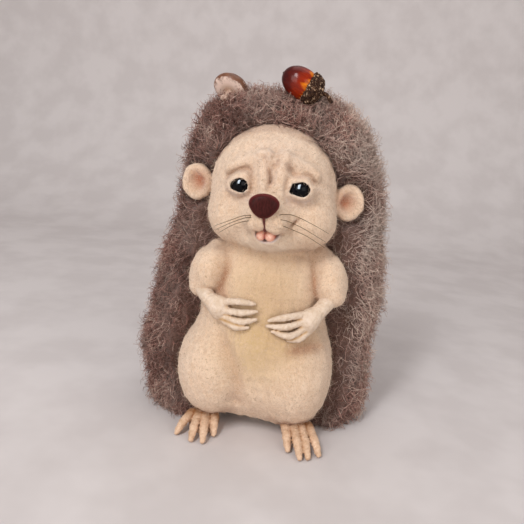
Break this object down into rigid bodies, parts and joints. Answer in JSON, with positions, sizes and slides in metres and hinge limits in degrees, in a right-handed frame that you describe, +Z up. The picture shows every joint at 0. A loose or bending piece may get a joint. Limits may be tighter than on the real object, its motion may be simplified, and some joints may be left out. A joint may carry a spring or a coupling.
{
  "type": "needle-felted hedgehog doll",
  "caption": "Upright felted hedgehog doll with a cream face and belly, clay hands and feet, and a long brown wool coat that rests on the floor behind it.",
  "frame": {"origin": "on the floor, under the middle of the bounding box", "axes": "+Z up, the doll faces -Y, its own left side is +X"},
  "size_m": [0.1604, 0.1226, 0.2144],
  "materials": {
    "felt": "needle-felted wool, matte, with fine loose fibres",
    "wool": "combed curly wool, matte",
    "clay": "matte modelling clay",
    "eye_glass": "polished black",
    "nose_clay": "satin",
    "tongue_clay": "glossy",
    "nut_resin": "clear high gloss over amber and dark red",
    "acorn_cup": "dry and scaly",
    "mushroom_cap": "satin",
    "mushroom_stem": "matte"
  },
  "bodies": {
    "root": {"head": "felt", "ear_left": "felt", "ear_right": "felt", "eye_left": "eye_glass", "eye_right": "eye_glass", "nose": "nose_clay", "tongue": "tongue_clay", "trunk": "felt", "upper_arm_left": "felt", "upper_arm_right": "felt", "hand_left": "clay", "hand_right": "clay", "thigh_left": "felt", "thigh_right": "felt", "foot_left": "clay", "foot_right": "clay", "coat_crown": "wool", "coat_left": "wool", "coat_right": "wool", "coat_back": "wool", "acorn_nut": "nut_resin", "acorn_cup": "acorn_cup", "mushroom_cap": "mushroom_cap", "mushroom_stem": "mushroom_stem"}
  },
  "joints": []
}
